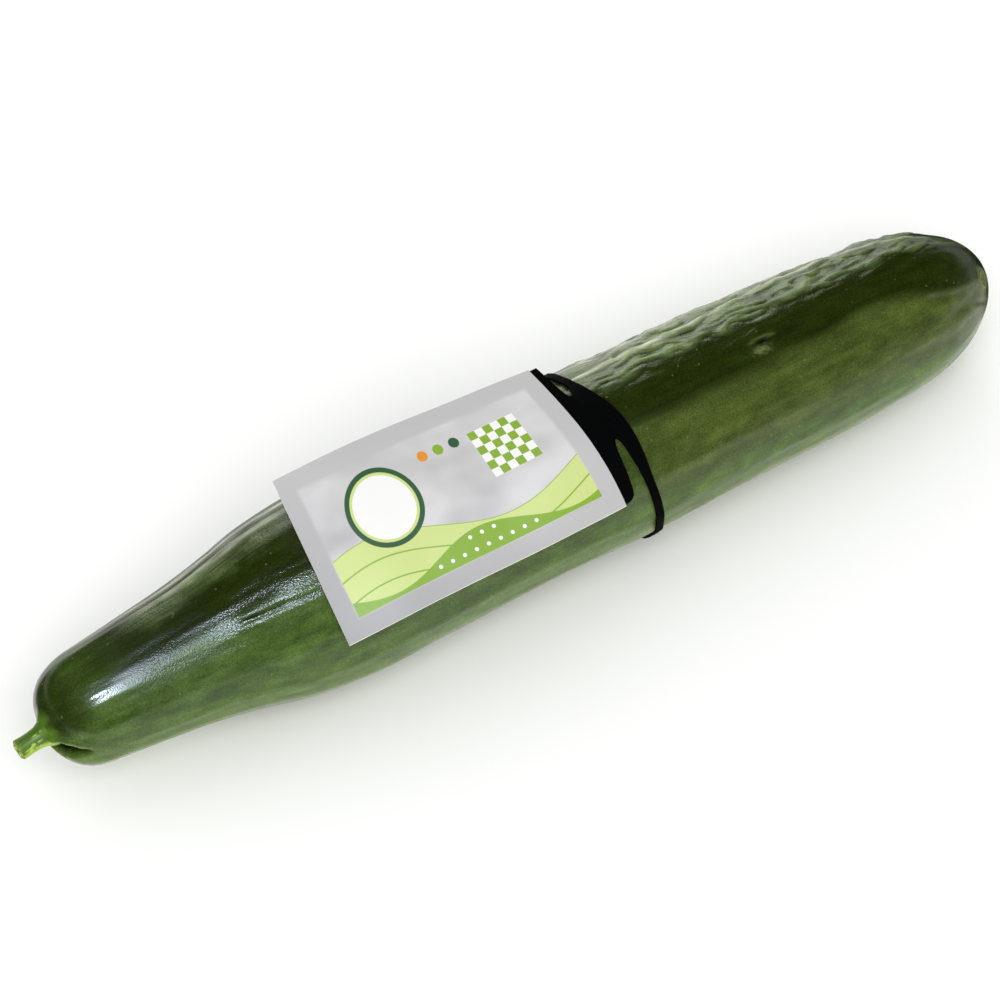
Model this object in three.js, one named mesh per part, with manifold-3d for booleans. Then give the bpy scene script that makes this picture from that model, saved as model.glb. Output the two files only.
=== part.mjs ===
// A long smooth cucumber with its stub of stem, and the card label that an elastic band holds on it.
// Millimetres, +Z up, lying on z = 0. X runs along the fruit, from the stem end to the blossom end.

import * as THREE from 'three';
import { mergeVertices } from 'three/addons/utils/BufferGeometryUtils.js';
import Module from 'manifold-3d';

// Fruit: [distance from the stem end, radius], and [distance, y, z] of its centre line
const fruitLength = 300;
const fruitRadii = [
  [0, 13.9], [16, 15.9], [32, 17.6], [45, 19.05], [57, 21.5], [68, 24.2], [80, 25.7], [94, 26.4], [108, 25.8],
  [128, 25.1], [150, 24.7], [172, 24.9], [190, 24.35], [220, 23.7], [244, 22.9], [264, 21.8], [300, 22.2],
];
const fruitAxis = [
  [0, 0, 25.2], [94, 0.75, 25.95], [140, 0.2, 26.35], [184, 0.1, 26.0], [215, 0.85, 24.9], [252, 2.0, 22.05],
  [300, 5.1, 19.2],
];
const shoulderLength = 17;
const shoulderPower = 2.9;
const tipLength = 40;
const fruitSegments = 72;

// Stem: [radius, height above the fruit's end], and where the middle of its base and of its cut end are
const stemProfile = [
  [0, 0], [3.8, 0], [3.3, 1.2], [2.95, 3], [2.8, 5.5], [2.9, 8], [2.6, 8.8], [0, 8.8],
];
const stemBase = [-0.3, -1.96, 25.7];
const stemTip = [-9, -2.47, 24.76];
const stemRibs = 5;
const stemRibDepth = 0.08;
const stemSegments = 40;

// Label: the card's size, and how it lies over the fruit. Angles are turned about the fruit's axis,
// from the side that the card faces (faceTilt from straight up) towards its upper edge.
const faceTilt = degrees(33.7);
const labelStart = 76.8;
const labelEnd = 160.6;
const labelEndSlant = degrees(5);
const labelWidth = 47.2;
const labelThickness = 0.3;
const labelTurnStart = degrees(-3);
const labelTurnEnd = degrees(26);
const labelContactStart = -8.6;
const labelContactEnd = 3.8;
const labelBendLower = 32.5;
const labelBendUpper = 117;
const flattestBend = 1e6;
const labelCells = 14;
// Where along the label, 0 to 1, it rises over the pad
const labelRiseStart = 0.6;
const labelRiseEnd = 0.88;

// Band: a ring, a pad under the label's end, and a web from one to the other
const gap = 0.35;
const bandThickness = 0.7;
const bandLayer = gap + bandThickness;
const ringPlace = 170.4;
const ringLean = 4.5;
const ringWidth = 2.3;
const ringSegments = 96;
const webTurn = degrees(14);
const webSpread = degrees(48);
const webBulge = 2.4;
const webThickness = 0.5;
const webLower = degrees(4);
const webUpper = degrees(42);
const webFillet = degrees(9);
const webFilletPower = 2.5;
const webCellsAlong = 8;
const webCellsAround = 14;
const padCellsAlong = 6;
const padCellsAcross = 28;
const padInset = 8;
// [place across the label, how far the pad stands out past the label's end]
const padEdge = [
  [-23.6, 3.4], [-17, 4.3], [-10, 5.1], [-5, 5.7], [-2, 5.6], [14, 3.1], [23.6, 2.4],
];
const padCorner = 2.6;
const padOverlap = 1.5;
// The middle of the pad's thickness, below the label's underside
const padDepth = (gap + bandLayer) / 2;

// [colour, roughness] of each material
const skin = [0x2f4d1c, 0.4];
const stalk = [0x9cb84a, 0.6];
const card = [0xc9c8ca, 0.5];
const elastic = [0x0a0a0a, 0.7];

function degrees(angle) {
  return THREE.MathUtils.degToRad(angle);
}

// A smooth curve through points [place, value, ...], each point's slope taken from its neighbours
function smooth(points, place, column = 1) {
  const last = points.length - 1;
  const slope = (k) => {
    const before = points[Math.max(k - 1, 0)];
    const after = points[Math.min(k + 1, last)];
    return (after[column] - before[column]) / (after[0] - before[0]);
  };
  const next = points.findIndex((point, k) => k > 0 && (place <= point[0] || k === last));
  const [a, b] = [points[next - 1], points[next]];
  const span = b[0] - a[0];
  const t = (place - a[0]) / span;
  return (2 * t ** 3 - 3 * t ** 2 + 1) * a[column]
    + (t ** 3 - 2 * t ** 2 + t) * span * slope(next - 1)
    + (3 * t ** 2 - 2 * t ** 3) * b[column]
    + (t ** 3 - t ** 2) * span * slope(next);
}

function fruitRadius(x) {
  const shoulder = THREE.MathUtils.clamp((shoulderLength - x) / shoulderLength, 0, 1);
  const tip = THREE.MathUtils.clamp((x - fruitLength + tipLength) / tipLength, 0, 1);
  const round = (1 - shoulder ** shoulderPower) ** (1 / shoulderPower) * Math.sqrt(1 - tip ** 2);
  return smooth(fruitRadii, x) * round;
}

// A point of the fruit's cross-section at x: `out` towards the label's face, `across` up the label
function sectionPoint(x, out, across) {
  const y = smooth(fruitAxis, x, 1) - out * Math.sin(faceTilt) + across * Math.cos(faceTilt);
  const z = smooth(fruitAxis, x, 2) + out * Math.cos(faceTilt) + across * Math.sin(faceTilt);
  return new THREE.Vector3(x, y, z);
}

function roundPoint(x, turn, distance) {
  return sectionPoint(x, distance * Math.cos(turn), distance * Math.sin(turn));
}

function moveVertices(geometry, place) {
  const position = geometry.getAttribute('position');
  const point = new THREE.Vector3();
  for (let i = 0; i < position.count; i += 1) {
    point.fromBufferAttribute(position, i);
    const moved = place(point);
    position.setXYZ(i, moved.x, moved.y, moved.z);
  }
  geometry.deleteAttribute('normal');
  geometry.deleteAttribute('uv');
  const merged = mergeVertices(geometry);
  merged.computeVertexNormals();
  return merged;
}

function makeMesh(name, geometry, [color, roughness]) {
  const material = new THREE.MeshStandardMaterial({ color, roughness, metalness: 0 });
  const mesh = new THREE.Mesh(geometry, material);
  mesh.name = name;
  return mesh;
}

// Places along the fruit, closer together where its two ends are rounded
function fruitStations() {
  const shoulderSteps = 9;
  const bodySteps = 34;
  const tipSteps = 10;
  const stations = [];
  for (let i = 0; i < shoulderSteps; i += 1) {
    stations.push(shoulderLength * (i / shoulderSteps) ** 2);
  }
  for (let i = 0; i < bodySteps; i += 1) {
    stations.push(shoulderLength + (fruitLength - tipLength - shoulderLength) * (i / bodySteps));
  }
  for (let i = 0; i <= tipSteps; i += 1) {
    stations.push(fruitLength - tipLength + tipLength * Math.sin((Math.PI / 2) * (i / tipSteps)));
  }
  return stations;
}

// The belly is pressed flat where it would reach below z = 0, so the fruit rests on two level patches
function makeFruit() {
  const profile = fruitStations().map((x) => new THREE.Vector2(fruitRadius(x), x));
  profile[0].x = 0;
  profile[profile.length - 1].x = 0;
  const lathe = new THREE.LatheGeometry(profile, fruitSegments);
  const geometry = moveVertices(lathe, (p) => {
    const y = smooth(fruitAxis, p.y, 1) + p.z;
    const z = smooth(fruitAxis, p.y, 2) + p.x;
    return new THREE.Vector3(p.y, y, Math.max(z, 0));
  });
  return makeMesh('fruit', geometry, skin);
}

function makeStem() {
  const profile = stemProfile.map(([radius, height]) => new THREE.Vector2(radius, height));
  const lathe = new THREE.LatheGeometry(profile, stemSegments);
  const geometry = moveVertices(lathe, (p) => {
    const rib = 1 + stemRibDepth * Math.cos(stemRibs * Math.atan2(p.x, p.z));
    return new THREE.Vector3(p.x * rib, p.y, p.z * rib);
  });
  const mesh = makeMesh('stem', geometry, stalk);
  const base = new THREE.Vector3(...stemBase);
  const direction = new THREE.Vector3(...stemTip).sub(base).normalize();
  mesh.position.copy(base);
  mesh.quaternion.setFromUnitVectors(new THREE.Vector3(0, 1, 0), direction);
  return mesh;
}

// How far the label's underside stands off the fruit where it touches: more where the pad lies beneath
function labelStandOff(along) {
  return gap + bandLayer * THREE.MathUtils.smoothstep(along, labelRiseStart, labelRiseEnd);
}

// A point of the label at `along` its length, 0 to 1, `across` its width in mm, and `raise` above its
// underside. It is bent about the fruit around its line of contact: little at the start, more at the end.
function labelPoint(along, across, raise, past = 0) {
  const end = labelEnd - across * Math.tan(labelEndSlant);
  const x = labelStart + along * (end - labelStart) + past;
  const turn = labelTurnStart + (labelTurnEnd - labelTurnStart) * along;
  const reach = across - (labelContactStart + (labelContactEnd - labelContactStart) * along);
  const bend = Math.min((reach > 0 ? labelBendUpper : labelBendLower) / along ** 2, flattestBend);
  const distance = fruitRadius(x) + labelStandOff(along);
  const facing = turn + reach / bend;
  const out = (distance - bend) * Math.cos(turn) + (bend + raise) * Math.cos(facing);
  const up = (distance - bend) * Math.sin(turn) + (bend + raise) * Math.sin(facing);
  return sectionPoint(x, out, up);
}

function makeLabel() {
  const box = new THREE.BoxGeometry(1, 1, 1, labelCells, labelCells, 1);
  const geometry = moveVertices(box, (p) => {
    return labelPoint(p.x + 0.5, p.y * labelWidth, (p.z + 0.5) * labelThickness);
  });
  return makeMesh('label', geometry, card);
}

// The pad's own surface, seen from the fruit's axis: the distance at a turn about it
function padDistance(x, turn) {
  const offset = turn - labelTurnEnd;
  const bend = offset > 0 ? labelBendUpper : labelBendLower;
  const centre = fruitRadius(x) + labelStandOff(1) - bend;
  return centre * Math.cos(offset) + Math.sqrt(bend ** 2 - (centre * Math.sin(offset)) ** 2) - padDepth;
}

function padOverhang(across) {
  const toCorner = Math.max(-labelWidth / 2 + padCorner - across, 0);
  return smooth(padEdge, across) - padCorner + Math.sqrt(Math.max(padCorner ** 2 - toCorner ** 2, 0));
}

function makePad() {
  const box = new THREE.BoxGeometry(1, 1, 1, padCellsAlong, padCellsAcross, 1);
  return moveVertices(box, (p) => {
    const across = p.y * labelWidth;
    const past = (p.x + 0.5) * (padInset + padOverhang(across)) - padInset;
    const inset = Math.min(past, 0) / (labelEnd - labelStart);
    return labelPoint(1 + inset, across, p.z * bandThickness - padDepth, Math.max(past, 0));
  });
}

function ringMiddle(turn) {
  return ringPlace - ringLean * Math.sin(turn);
}

// The lathe's radius only tells the ring's inner layer from its outer one, until the points are moved
function makeRing() {
  const half = ringWidth / 2;
  const innerRadius = 10;
  const corners = [[0, -1], [1, -1], [1, 1], [0, 1], [0, -1]];
  const profile = corners.map(([layer, side]) => new THREE.Vector2(innerRadius + layer, side));
  const lathe = new THREE.LatheGeometry(profile, ringSegments);
  return moveVertices(lathe, (p) => {
    const turn = Math.atan2(p.z, p.x);
    const layer = Math.round(Math.hypot(p.x, p.z) - innerRadius);
    const spread = THREE.MathUtils.clamp((turn - webTurn) / webSpread, -1, 1);
    const bulge = p.y > 0 ? webBulge * Math.cos(spread * Math.PI / 2) ** 2 : 0;
    const x = ringMiddle(turn) + p.y * half + bulge;
    return roundPoint(x, turn, fruitRadius(x) + gap + layer * bandThickness);
  });
}

// The web's ends are hollowed, and its surface runs from the pad's down to the ring's
function makeWeb() {
  const box = new THREE.BoxGeometry(1, 1, 1, webCellsAlong, webCellsAround, 1);
  return moveVertices(box, (p) => {
    const toRing = p.x + 0.5;
    const flare = webFillet * Math.abs(2 * toRing - 1) ** webFilletPower;
    const turn = webLower - flare + (p.y + 0.5) * (webUpper - webLower + 2 * flare);
    const across = labelContactEnd + (turn - labelTurnEnd) * fruitRadius(labelEnd);
    const start = labelEnd - across * Math.tan(labelEndSlant) + padOverhang(across) - padOverlap;
    const x = start + toRing * (ringMiddle(turn) - start);
    const ringDistance = fruitRadius(x) + gap + bandThickness / 2;
    const distance = padDistance(x, turn) * (1 - toRing) + ringDistance * toRing;
    return roundPoint(x, turn, distance + p.z * webThickness);
  });
}

function toSolid(wasm, geometry) {
  return new wasm.Manifold(new wasm.Mesh({
    numProp: 3,
    vertProperties: new Float32Array(geometry.getAttribute('position').array),
    triVerts: new Uint32Array(geometry.index.array),
  }));
}

function toGeometry(solid) {
  const { vertProperties, triVerts } = solid.getMesh();
  const geometry = new THREE.BufferGeometry();
  geometry.setAttribute('position', new THREE.BufferAttribute(vertProperties, 3));
  geometry.setIndex(new THREE.BufferAttribute(triVerts, 1));
  geometry.computeVertexNormals();
  return geometry;
}

// Ring, pad and web are moulded as one piece
async function makeBand() {
  const wasm = await Module();
  wasm.setup();
  const [ring, pad, web] = [makeRing(), makePad(), makeWeb()].map((part) => toSolid(wasm, part));
  const joined = ring.add(pad).add(web);
  return makeMesh('elastic_band', toGeometry(joined), elastic);
}

const group = new THREE.Group();
group.add(makeFruit(), makeStem(), makeLabel(), await makeBand());

// The origin is under the middle of the whole object, on the surface that it rests on
const box = new THREE.Box3().setFromObject(group);
const middle = box.getCenter(new THREE.Vector3());
group.position.set(-middle.x, -middle.y, -box.min.z);

export default group;
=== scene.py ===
# A long cucumber lying on its side, with a card label that a black elastic band holds on it.
# Sizes are in mm, measured from the stem end of the fruit, until a finished mesh goes to metres.

from math import atan2, ceil, cos, exp, hypot, pi, radians, sin, sqrt, tan

import bmesh
import bpy
from mathutils import Matrix, Vector, noise


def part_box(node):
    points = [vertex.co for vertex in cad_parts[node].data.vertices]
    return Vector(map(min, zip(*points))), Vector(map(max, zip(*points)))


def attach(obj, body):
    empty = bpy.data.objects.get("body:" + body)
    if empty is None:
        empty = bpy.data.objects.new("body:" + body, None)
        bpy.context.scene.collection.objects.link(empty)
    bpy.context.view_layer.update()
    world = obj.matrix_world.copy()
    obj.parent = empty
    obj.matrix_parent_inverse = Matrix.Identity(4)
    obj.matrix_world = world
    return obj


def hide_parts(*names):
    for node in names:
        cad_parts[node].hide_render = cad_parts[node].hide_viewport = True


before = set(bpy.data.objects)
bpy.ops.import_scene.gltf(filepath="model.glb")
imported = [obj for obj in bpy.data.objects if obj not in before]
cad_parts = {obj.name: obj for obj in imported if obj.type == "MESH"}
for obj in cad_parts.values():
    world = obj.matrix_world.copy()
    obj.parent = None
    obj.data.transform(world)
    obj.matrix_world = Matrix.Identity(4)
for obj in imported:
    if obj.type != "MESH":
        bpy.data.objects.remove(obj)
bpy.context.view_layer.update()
mm = 0.001


def clamp(value, low=0.0, high=1.0):
    return max(low, min(high, value))


def smoothstep(value, low, high):
    t = clamp((value - low) / (high - low))
    return t * t * (3 - 2 * t)


# A smooth curve through points (place, value, ...), each point's slope taken from its neighbours
def smooth(points, place, column=1):
    last = len(points) - 1
    nxt = next(k for k in range(1, last + 1) if place <= points[k][0] or k == last)

    def slope(k):
        before, after = points[max(k - 1, 0)], points[min(k + 1, last)]
        return (after[column] - before[column]) / (after[0] - before[0])

    a, b = points[nxt - 1], points[nxt]
    span = b[0] - a[0]
    t = (place - a[0]) / span
    return ((2 * t**3 - 3 * t**2 + 1) * a[column] + (t**3 - 2 * t**2 + t) * span * slope(nxt - 1)
            + (3 * t**2 - 2 * t**3) * b[column] + (t**3 - t**2) * span * slope(nxt))


# Fruit: the smooth body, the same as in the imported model
fruit = {
    "length": 300,
    "radii": [(0, 13.9), (16, 15.9), (32, 17.6), (45, 19.05), (57, 21.5), (68, 24.2), (80, 25.7), (94, 26.4),
              (108, 25.8), (128, 25.1), (150, 24.7), (172, 24.9), (190, 24.35), (220, 23.7), (244, 22.9),
              (264, 21.8), (300, 22.2)],
    "axis": [(0, 0, 25.2), (94, 0.75, 25.95), (140, 0.2, 26.35), (184, 0.1, 26.0), (215, 0.85, 24.9),
             (252, 2.0, 22.05), (300, 5.1, 19.2)],
    "shoulder": 17,
    "shoulderPower": 2.9,
    "tip": 40,
    "rings": (44, 406, 80),
    "turns": 184,
    "gather": 0.42,
    "gatherAt": radians(50),
}
faceTilt = radians(33.7)  # the side that the label faces, from straight up towards the front
faceDir = Vector((0, -sin(faceTilt), cos(faceTilt)))
acrossDir = Vector((0, cos(faceTilt), sin(faceTilt)))


def fruitRadius(x):
    shoulder = clamp((fruit["shoulder"] - x) / fruit["shoulder"])
    tip = clamp((x - fruit["length"] + fruit["tip"]) / fruit["tip"])
    power = fruit["shoulderPower"]
    return smooth(fruit["radii"], x) * (1 - shoulder**power) ** (1 / power) * sqrt(1 - tip * tip)


def fruitAxis(x):
    return Vector((x, smooth(fruit["axis"], x, 1), smooth(fruit["axis"], x, 2)))


def sectionPoint(x, out, across):
    return fruitAxis(x) + out * faceDir + across * acrossDir


def roundPoint(x, turn, distance):
    return sectionPoint(x, distance * cos(turn), distance * sin(turn))


# The stem end of the fruit and its front edge give the move from these sizes to the frame's own
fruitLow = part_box("fruit")[0]
frontEdge = min(smooth(fruit["axis"], x, 1) - fruitRadius(x) for x in range(60, 260))
shift = Vector((fruitLow.x / mm, fruitLow.y / mm - frontEdge, 0))


def toFrame(point):
    return (Vector(point) + shift) * mm


# Direction from the middle of the frame: degrees from the front towards the right, and up from the floor
def directionAt(azimuth, elevation):
    a, e = radians(azimuth), radians(elevation)
    return Vector((sin(a) * cos(e), -cos(a) * cos(e), sin(e)))


# Camera: a long lens, looking down from the stem end's side
camera = {
    "target": (141.12, 2.58, 24),
    "azimuth": -31.78,
    "elevation": 51.82,
    "distance": 1500,
    "lens": 200.98,
    "sensor": 36,
    "clip": (0.05, 50),
}


def makeCamera():
    data = bpy.data.cameras.new("camera")
    data.lens = camera["lens"]
    data.sensor_width = camera["sensor"]
    data.clip_start, data.clip_end = camera["clip"]
    view = bpy.data.objects.new("camera", data)
    bpy.context.scene.collection.objects.link(view)
    back = directionAt(camera["azimuth"], camera["elevation"])
    view.location = toFrame(camera["target"]) + back * camera["distance"] * mm
    view.rotation_euler = back.to_track_quat("Z", "Y").to_euler()
    bpy.context.scene.camera = view


# Light: an even white room and a broad box on the camera's side light all surfaces softly. A low panel behind
# on the right lights them too, and glossy surfaces mirror it, a small spot overhead and the floor
lights = {
    "box": {"azimuth": -25, "elevation": 48, "distance": 1.6, "size": (1.4, 1.0), "watts": 13,
            "colour": "#ffffff", "mirrored": False, "lit": True},
    "spot": {"azimuth": -25, "elevation": 65.4, "distance": 1.29, "size": (0.1, 0.11), "watts": 15,
             "colour": "#dcebff", "mirrored": True, "lit": False},
    "back": {"azimuth": 158, "elevation": 17, "distance": 1.6, "size": (0.72, 0.8), "watts": 7.4,
             "colour": "#f4fbe8", "mirrored": True, "lit": True},
}
lightTarget = Vector((0, 0, 0.025))
room = {"colour": "#ffffff", "strength": 0.8}
board = {"size": 15, "colour": "#fcfcfb", "roughness": 0.9}
# Two black cards on the floor beside the ends, (start, end) along and across. Only glossy surfaces see them:
# they keep some of the white floor out of what both ends mirror
flags = {"stem_end_flag": ((-700, -13), (-80, 250)), "tip_flag": ((303, 440), (-4, 120))}
felt = {"height": 0.5, "colour": "#020202", "roughness": 1.0}


def linear(hexColour):
    channels = [int(hexColour[i:i + 2], 16) / 255 for i in (1, 3, 5)]
    return [c / 12.92 if c <= 0.04045 else ((c + 0.055) / 1.055) ** 2.4 for c in channels] + [1.0]


# Adds a node: settings by name, and each input a value or the socket that feeds it
def addNode(tree, kind, inputs=None, **settings):
    node = tree.nodes.new("ShaderNode" + kind)
    for name, value in settings.items():
        setattr(node, name, value)
    for name, value in (inputs or {}).items():
        if isinstance(value, bpy.types.NodeSocket):
            tree.links.new(value, node.inputs[name])
        else:
            node.inputs[name].default_value = value
    return node


def makeLights():
    for name, light in lights.items():
        data = bpy.data.lights.new(name, "AREA")
        data.shape = "RECTANGLE"
        data.size, data.size_y = light["size"]
        data.energy = light["watts"]
        data.color = linear(light["colour"])[:3]
        lamp = bpy.data.objects.new(name, data)
        bpy.context.scene.collection.objects.link(lamp)
        back = directionAt(light["azimuth"], light["elevation"])
        lamp.location = lightTarget + back * light["distance"]
        lamp.rotation_euler = back.to_track_quat("Z", "Y").to_euler()
        lamp.visible_glossy = light["mirrored"]
        lamp.visible_diffuse = light["lit"]


def makeRoom():
    world = bpy.data.worlds.new("room")
    bpy.context.scene.world = world
    world.use_nodes = True
    tree = world.node_tree
    tree.nodes.clear()
    light = addNode(tree, "Background", {"Color": linear(room["colour"]), "Strength": room["strength"]})
    output = addNode(tree, "OutputWorld")
    tree.links.new(light.outputs[0], output.inputs[0])
    world.cycles_visibility.glossy = False  # glossy surfaces mirror the lamps and the floor, not the room
    bpy.context.scene.view_settings.view_transform = "Standard"


def newMaterial(name):
    material = bpy.data.materials.new(name)
    material.use_nodes = True
    tree = material.node_tree
    tree.nodes.clear()
    shader = addNode(tree, "BsdfPrincipled")
    output = addNode(tree, "OutputMaterial")
    tree.links.new(shader.outputs[0], output.inputs["Surface"])
    return material, tree, shader


# Makes a finished bmesh an object in the scene
def newObject(name, bm, materials):
    mesh = bpy.data.meshes.new(name)
    bm.to_mesh(mesh)
    bm.free()
    for material in materials:
        mesh.materials.append(material)
    item = bpy.data.objects.new(name, mesh)
    bpy.context.scene.collection.objects.link(item)
    return item


# Matt white board: the floor that everything lies on, pale and without a sheen
def makeFloor():
    material, _, shader = newMaterial("matt white board")
    shader.inputs["Base Color"].default_value = linear(board["colour"])
    shader.inputs["Roughness"].default_value = board["roughness"]
    bm = bmesh.new()
    bmesh.ops.create_grid(bm, x_segments=1, y_segments=1, size=board["size"])
    floor = newObject("floor", bm, [material])


# Black felt: takes the light, so that what mirrors it stays dark
def makeFlags():
    material, _, shader = newMaterial("black felt")
    shader.inputs["Base Color"].default_value = linear(felt["colour"])
    shader.inputs["Roughness"].default_value = felt["roughness"]
    for name, ((start, end), (near, far)) in flags.items():
        bm = bmesh.new()
        corners = [(start, near), (end, near), (end, far), (start, far)]
        bm.faces.new([bm.verts.new(toFrame((x, y, felt["height"]))) for x, y in corners])
        flag = newObject(name, bm, [material])
        flag.visible_camera = False
        flag.visible_diffuse = False
        flag.visible_shadow = False


# Puts a finished bmesh in the frame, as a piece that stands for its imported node
def addPiece(name, bm, node, materials):
    for vert in bm.verts:
        vert.co = toFrame(vert.co)
    piece = newObject(name, bm, materials)
    piece.data.shade_smooth()
    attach(piece, "root")
    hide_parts(node)
    print(name, len(piece.data.polygons), "faces")
    return piece


# Skin relief, in mm and degrees of turn: ribs and fine lines along the fruit, lumps, folds on the upper side
# of the blossom half, and single marks
relief = {
    "ribs": [(46, 0.16), (28, 0.1), (-14, 0.08), (-32, 0.14), (-57, 0.42), (-76, 0.4), (-98, 0.3),
             (-126, 0.3), (-155, 0.25), (84, 0.3), (108, 0.3), (134, 0.3), (160, 0.25)],
    "ribWidth": 3.6,
    "ribSway": 2.2,
    "line": 0.13,
    "lineWidth": 1.8,
    "lump": 0.26,
    "lumpWidth": 12,
    "fold": 0.75,
    "foldWidth": 4.4,
    "foldEdge": [(160, 38), (190, 40), (215, 38), (238, 44), (268, 42), (300, 36)],
    "foldEnd": (110, 150),
    "foldStart": (158, 186),
    "foldTip": (262, 290),
    "foldSoft": 5,
    "foldFoot": 30,
    "foldWaver": 9,
    "crumple": 0.6,
    "pit": {"at": (220, 21), "size": (2.0, 0.6), "depth": 0.6},
    "spot": {"at": (218.4, 16), "size": (2.6, 1.2)},
    "scar": {"at": (294.5, -12), "radius": 1.3, "rim": 2.4},
    "neck": {"span": (2.6, 7.0), "height": 1.3},
    "crease": {"rim": [(5, -48), (8.4, -42), (11, -46), (14, -52)], "depth": 3.2,
               "reach": [(5, 72), (8, 42), (9.7, 24), (12.4, 10), (14, 4)]},
}
groovePath = [(50, 5.2), (56, 3.6), (62, 2.2), (67, 1.0), (72, 0.2), (80, -1.4)]
# Strokes run along the fruit on a path of (place, degree); the tone that each carries is a layer of the skin.
# The near-white line tone is mostly painted reflection and sheen, partly the skin's own pale streaks; the
# crest tone is painted sheen, and the darkest tone is painted shade along grooves
strokes = [
    {"path": groovePath, "height": -0.5, "width": 0.75, "fade": 5, "paintedShade": 0.7},
    {"path": groovePath, "height": 0.3, "width": 2.6, "fade": 5},
    {"path": [(22, 59), (40, 61), (60, 63), (90, 61), (150, 60)], "height": 0.3, "width": 1.4, "fade": 26,
     "line": 0.55, "crestSheen": 0.5},
    {"path": [(24, 67), (50, 68), (84, 66)], "height": -0.15, "width": 0.6, "fade": 20, "paintedShade": 0.3},
    {"path": [(20, 73), (50, 75), (90, 73), (150, 72)], "height": 0.3, "width": 1.4, "fade": 24, "line": 0.7,
     "crestSheen": 0.3},
    {"path": [(24, 50), (50, 52), (84, 50)], "height": 0.2, "width": 3.6, "fade": 14, "crestSheen": 0.75},
    {"path": [(163, 58), (180, 58), (212, 62), (248, 76), (272, 68), (288, 58)], "height": 0.5, "width": 1.0,
     "fade": 9, "line": 0.95},
    {"path": [(161, 76), (190, 80), (250, 92), (285, 84)], "height": 0.4, "width": 3.0, "fade": 9,
     "line": 0.75},
    {"path": [(270, 2), (279, -5), (286, -8), (294, -8)], "height": 0.25, "width": 0.7, "fade": 5,
     "line": 0.08},
    {"path": [(256, -28), (268, -31), (280, -33), (290, -38), (297, -60)], "height": 0.32, "width": 1.4,
     "fade": 9, "line": 0.05},
    {"path": [(284, -22), (290, -34), (296, -56)], "height": -0.5, "width": 1.1, "fade": 4, "paintedShade": 0.4},
    {"path": [(276, -20), (284, -22), (292, -20)], "height": -0.4, "width": 1.3, "fade": 5, "paintedShade": 0.3},
    {"path": [(150, -72), (200, -76), (250, -74), (285, -66)], "height": 0.3, "width": 1.6, "fade": 16,
     "line": 0.35},
]


def bell(value, width):
    return exp(-(value / width) ** 2)


def strokesAt(x, degree, r, tones):
    height = 0.0
    for stroke in strokes:
        first, last, fade = stroke["path"][0], stroke["path"][-1], stroke["fade"]
        if not first[0] < x < last[0]:
            continue
        away = radians(degree - smooth(stroke["path"], x)) * r
        ends = smoothstep(x, first[0], first[0] + fade) * (1 - smoothstep(x, last[0] - fade, last[0]))
        uneven = 0.85 + 0.7 * noise.noise(Vector((x / 6, first[1], 0)))
        share = ends * uneven * bell(away, stroke["width"])
        height += stroke["height"] * share
        streaky = 0.85 + noise.noise(Vector((x / 11, degree / 1.3, 3)))
        for tone in ("line", "crestSheen", "paintedShade"):
            tones[tone] += stroke.get(tone, 0) * share * streaky
    return height


# Folds on the upper side overlap like loose cloth: each is high along its wavy lower edge, where it drops to
# the next one, and fades in and out along the fruit. Their colour is painted light: a paler painted sheen over
# the folds, a painted highlight along each high edge and painted shade at each foot
def foldAt(x, turn, r, tones):
    degree = turn * 180 / pi
    soft, foot = relief["foldSoft"], relief["foldFoot"]
    edge = smooth(relief["foldEdge"], clamp(x, relief["foldEdge"][0][0], relief["foldEdge"][-1][0]))
    edge += relief["foldWaver"] * noise.noise(Vector((x / 8, 8.3, 0)))
    full = smoothstep(degree, edge - soft, edge + soft)
    share = max(full, 0.4 * smoothstep(degree, edge - foot, edge - soft))
    share *= 1 - smoothstep(degree, *relief["foldEnd"])
    share *= smoothstep(x, *relief["foldStart"]) * (1 - 0.35 * smoothstep(x, *relief["foldTip"]))
    if share == 0:
        return 0.0
    across = turn * r
    wander = 1.3 * noise.noise(Vector((x / 15, across / 10, 3.1)))
    wander += 0.5 * noise.noise(Vector((x / 5, across / 4, 7)))
    place = across / relief["foldWidth"] + wander
    step = place % 1
    strength = clamp(0.5 + 1.9 * noise.noise(Vector((x / 9, (place - step) * 3.7, 0.5))))
    fold = strength * smoothstep(step, 0, 0.22) * (1 - step)
    crumple = noise.noise(Vector((x / 7, across / 2.2, 0.4)))
    crumple += 0.4 * noise.noise(Vector((x / 3, across / 1.4, 5)))
    height = fold + relief["crumple"] * crumple
    # Painted sheen: paler over the folds, most on their crests
    tones["crestSheen"] = clamp(full * share * (0.35 + 1.1 * height))
    tones["light"] += 0.2 * full * share * strength * bell(step - 0.2, 0.14)
    tones["paintedShade"] += 0.6 * share * strength * smoothstep(step, 0.8, 1)
    return relief["fold"] * share * height


# Distance of the smooth skin from the line through the middle of the stem
def fromStem(x, turn, r):
    base, tip = Vector(stem["base"]), Vector(stem["tip"])
    return (roundPoint(x, turn, r) - base).cross((tip - base).normalized()).length


# Distance from the middle of a mark, in shares of its size along and around
def fromMark(mark, x, degree, r):
    (markX, markDegree), (long, wide) = mark["at"], mark["size"]
    return hypot((x - markX) / long, radians(degree - markDegree) * r / wide)


# A slit and a light spot on the blossom half; the slit is darkened with painted shade and its upper rim has a
# painted highlight
def pitAt(x, degree, r, tones):
    pit = relief["pit"]
    toPit = fromMark(pit, x, degree, r)
    toSpot = fromMark(relief["spot"], x, degree, r)
    tones["paintedShade"] += bell(toPit, 1.0)
    above = smoothstep(degree, pit["at"][1], pit["at"][1] + 2)
    tones["light"] += 0.25 * above * bell(toPit - 2.0, 0.5)
    tones["light"] += 0.45 * bell(toSpot + 0.9 * noise.noise(Vector((x / 0.8, degree / 1.5, 0))), 0.9)
    return pit["depth"] * (0.3 * bell(toPit - 1.9, 0.8) - bell(toPit, 1.0))


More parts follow.
